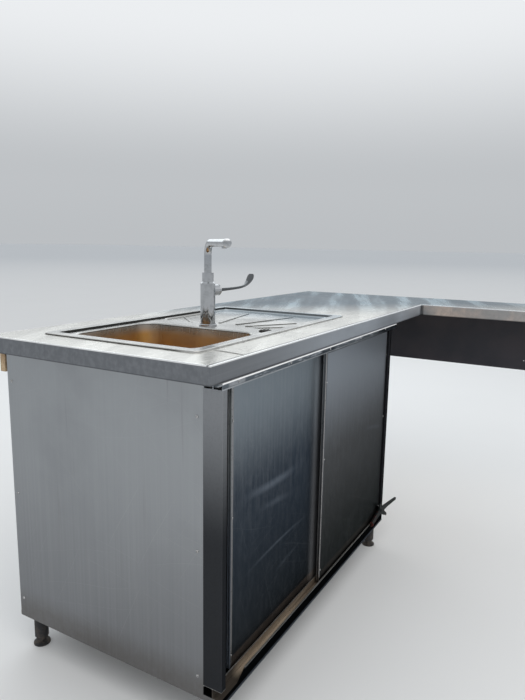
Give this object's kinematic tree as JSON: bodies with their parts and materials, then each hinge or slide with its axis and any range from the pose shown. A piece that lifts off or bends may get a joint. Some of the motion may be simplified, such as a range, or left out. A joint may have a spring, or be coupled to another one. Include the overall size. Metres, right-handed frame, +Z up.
{
  "type": "food truck sink counter",
  "caption": "L-shaped stainless galley counter with inset sink, elbow-lever tap, sliding-door cabinet, open appliance bay and serving return.",
  "frame": {"origin": "on the floor, under the middle of the counter's outline", "axes": "+X along the counter to the serving return, +Y back to the wall, +Z up"},
  "size_m": [1.92, 1.3, 1.155],
  "materials": {
    "worktop_steel": "brushed, worn satin",
    "sink_steel": "satin, pressed",
    "polished_steel": "polished",
    "tap_chrome": "polished, slightly dulled",
    "brass_nut": "plain",
    "cabinet_steel": "brushed",
    "door_steel": "vertical brushed grain, scratched",
    "edge_aluminium": "satin",
    "rail_aluminium": "dull, grimy",
    "core_board": "raw board",
    "dark_board": "dark grey, matt",
    "black_steel": "black, worn",
    "leg_steel": "grey",
    "white_plastic": "moulded",
    "black_nylon": "moulded"
  },
  "bodies": {
    "counter": {"worktop_sheet": "worktop_steel", "run_core": "core_board", "return_core": "core_board", "sink": "sink_steel", "sink_strainer": "polished_steel", "waste_trap": "white_plastic", "tap_hole_cap": "black_nylon", "tap_body": "tap_chrome", "tap_backnut": "brass_nut", "tap_lever": "tap_chrome", "left_side": "cabinet_steel", "right_side": "cabinet_steel", "cabinet_back": "cabinet_steel", "cabinet_floor": "cabinet_steel", "left_post": "rail_aluminium", "right_post": "rail_aluminium", "upper_rail": "rail_aluminium", "lower_rail": "rail_aluminium", "return_carrier": "dark_board", "wall_cleat": "core_board", "transit_latch": "black_steel", "front_legs": "leg_steel", "back_legs": "leg_steel"},
    "spout": {"spout_tube": "tap_chrome", "spout_collar": "tap_chrome", "spout_nozzle": "tap_chrome", "spout_aerator": "tap_chrome"},
    "left_door": {"left_door_skin": "door_steel", "left_door_backing": "cabinet_steel", "left_door_edge_strips": "edge_aluminium", "left_door_glides": "black_nylon", "left_door_guides": "black_nylon"},
    "right_door": {"right_door_skin": "door_steel", "right_door_backing": "cabinet_steel", "right_door_edge_strips": "edge_aluminium", "right_door_glides": "black_nylon", "right_door_guides": "black_nylon"}
  },
  "joints": [
    {"name": "left_door_slide", "type": "slide", "parent": "counter", "child": "left_door", "axis": [1, 0, 0], "range_m": [-0.061, 0.465]},
    {"name": "right_door_slide", "type": "slide", "parent": "counter", "child": "right_door", "axis": [-1, 0, 0], "range_m": [0, 0.526]},
    {"name": "spout_swivel", "type": "hinge", "parent": "counter", "child": "spout", "pos_m": [-0.465, 0.303, 1.04], "axis": [0, 0, 1], "range_deg": [-90, 90]}
  ]
}
